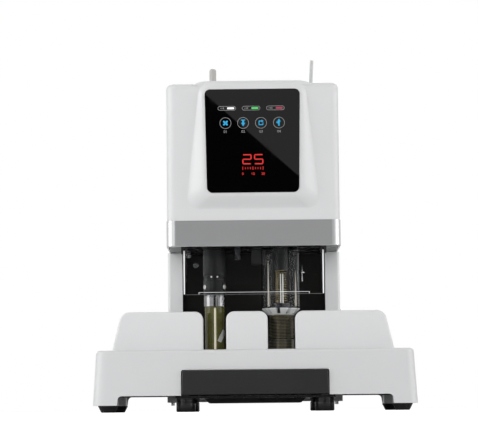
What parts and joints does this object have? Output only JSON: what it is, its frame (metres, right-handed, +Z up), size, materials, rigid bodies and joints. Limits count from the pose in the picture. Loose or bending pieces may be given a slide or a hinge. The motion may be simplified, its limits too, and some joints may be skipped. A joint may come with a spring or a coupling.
{
  "type": "document riveting machine",
  "caption": "Desk machine that drills a paper stack and closes a nylon tube rivet through it, with lifting heads, fence, guard and chip drawer.",
  "frame": {"origin": "centre of the footprint on the surface that the feet stand on", "axes": "+Z up, -Y towards the operator, +X to the operator's right"},
  "size_m": [0.43, 0.304, 0.5081],
  "materials": {
    "cover_white": "fine moulded texture",
    "band_silver": "satin silver",
    "black_plastic": "satin black",
    "tray_plastic": "moulded",
    "panel_glass": "gloss black",
    "clear_plastic": "clear",
    "amber_plastic": "translucent amber",
    "nylon": "natural nylon",
    "foot_rubber": "matt",
    "plated_steel": "zinc plated",
    "ground_steel": "ground",
    "chrome": "bright",
    "spring_steel": "oiled",
    "dark_steel": "blackened",
    "cast_alloy": "machined",
    "motor_black": "black oxide",
    "belt_rubber": "moulded",
    "board_green": "solder mask",
    "socket_grey": "moulded"
  },
  "bodies": {
    "machine": {"base_cover": "cover_white", "base_plate": "dark_steel", "under_rails": "cover_white", "under_pan": "black_plastic", "corner_feet": "foot_rubber", "centre_legs": "foot_rubber", "drawer_runners": "tray_plastic", "side_frames": "plated_steel", "anvil_beam": "plated_steel", "top_plate": "plated_steel", "head_floor": "dark_steel", "guide_rods": "ground_steel", "lift_motors": "motor_black", "pad_holder": "cast_alloy", "rivet_anvil": "chrome", "anvil_heater": "cast_alloy", "column_cover": "cover_white", "throat_liner": "black_plastic", "rear_cover": "cover_white", "head_cover": "cover_white", "head_band": "band_silver", "panel_glass": "panel_glass", "circuit_boards": "board_green", "power_supply": "plated_steel", "power_inlet": "black_plastic", "switch_body": "black_plastic", "guard_hinges": "black_plastic", "laser_pointer": "dark_steel", "sensor_box": "black_plastic", "accessory_sockets": "socket_grey"},
    "drill_lift": {"drill_carriage": "cast_alloy", "drill_motor": "motor_black", "spindle_housing": "dark_steel", "drill_sleeve": "chrome", "drive_belt": "belt_rubber"},
    "drill_spindle": {"spindle": "ground_steel", "chuck": "dark_steel", "drill_bit": "ground_steel"},
    "motor_shaft": {"motor_pulley": "motor_black"},
    "drill_press": {"press_sleeve": "amber_plastic", "press_spring": "spring_steel"},
    "drill_lead": {"drill_screw": "ground_steel"},
    "rivet_lift": {"rivet_carriage": "cast_alloy", "shield_mount": "dark_steel", "clear_shield": "clear_plastic", "rivet_collar": "clear_plastic", "heated_punch": "ground_steel"},
    "rivet_press": {"press_foot": "dark_steel", "foot_coil": "spring_steel", "inner_spring": "spring_steel"},
    "rivet_lead": {"rivet_screw": "ground_steel"},
    "fence_body": {"fence": "cover_white", "fence_carrier": "cast_alloy"},
    "guard_body": {"guard": "clear_plastic"},
    "drawer": {"drawer_front": "black_plastic", "drawer_tray": "tray_plastic"},
    "rocker": {"switch_rocker": "black_plastic"},
    "cutting_pad": {"cutting_pad": "nylon"},
    "rivet_tube": {"nylon_tube": "nylon"},
    "clearing_rod": {"clearing_rod": "cast_alloy"}
  },
  "joints": [
    {"name": "drill_lift", "type": "slide", "parent": "machine", "child": "drill_lift", "axis": [0, 0, 1], "range_m": [0, 0.058]},
    {"name": "drill_screw", "type": "hinge", "parent": "machine", "child": "drill_lead", "pos_m": [-0.0538, 0.035, 0.3], "axis": [0, 0, 1], "continuous": true},
    {"name": "spindle", "type": "hinge", "parent": "drill_lift", "child": "drill_spindle", "pos_m": [-0.0538, -0.07, 0.3], "axis": [0, 0, 1], "continuous": true},
    {"name": "motor_shaft", "type": "hinge", "parent": "drill_lift", "child": "motor_shaft", "pos_m": [-0.0538, -0.02, 0.3], "axis": [0, 0, 1], "continuous": true},
    {"name": "drill_press", "type": "slide", "parent": "drill_lift", "child": "drill_press", "axis": [0, 0, 1], "range_m": [0, 0.05], "stiffness_N_per_m": 120, "springref_m": -0.012, "deforming": ["press_spring"]},
    {"name": "rivet_lift", "type": "slide", "parent": "machine", "child": "rivet_lift", "axis": [0, 0, 1], "range_m": [0, 0.058]},
    {"name": "rivet_screw", "type": "hinge", "parent": "machine", "child": "rivet_lead", "pos_m": [0.0363, 0.035, 0.3], "axis": [0, 0, 1], "continuous": true},
    {"name": "rivet_press", "type": "slide", "parent": "rivet_lift", "child": "rivet_press", "axis": [0, 0, 1], "range_m": [0, 0.012], "stiffness_N_per_m": 900, "springref_m": -0.006, "deforming": ["foot_coil", "inner_spring"]},
    {"name": "fence_slide", "type": "slide", "parent": "machine", "child": "fence_body", "axis": [0, 1, 0], "range_m": [0, 0.05]},
    {"name": "guard_hinge", "type": "hinge", "parent": "machine", "child": "guard_body", "pos_m": [0, -0.103, 0.216], "axis": [-1, 0, 0], "range_deg": [0, 85]},
    {"name": "drawer_slide", "type": "slide", "parent": "machine", "child": "drawer", "axis": [0, -1, 0], "range_m": [0, 0.115]},
    {"name": "power_rocker", "type": "hinge", "parent": "machine", "child": "rocker", "pos_m": [0.117, 0.051, 0.132], "axis": [0, -1, 0], "range_deg": [0, 16]},
    {"name": "pad_turn", "type": "hinge", "parent": "machine", "child": "cutting_pad", "pos_m": [-0.0538, -0.07, 0.078], "axis": [0, 0, 1], "continuous": true},
    {"name": "tube_lift", "type": "slide", "parent": "machine", "child": "rivet_tube", "axis": [0.0523, 0, 0.9986], "range_m": [0, 0.18]},
    {"name": "rod_lift", "type": "slide", "parent": "machine", "child": "clearing_rod", "axis": [0, 0, 1], "range_m": [0, 0.18]}
  ],
  "couplings": [
    {"joint": "drill_screw", "follows": "drill_lift", "rad_per_m": 785.4},
    {"joint": "rivet_screw", "follows": "rivet_lift", "rad_per_m": 785.4},
    {"joint": "motor_shaft", "follows": "spindle", "ratio": 1.5}
  ]
}
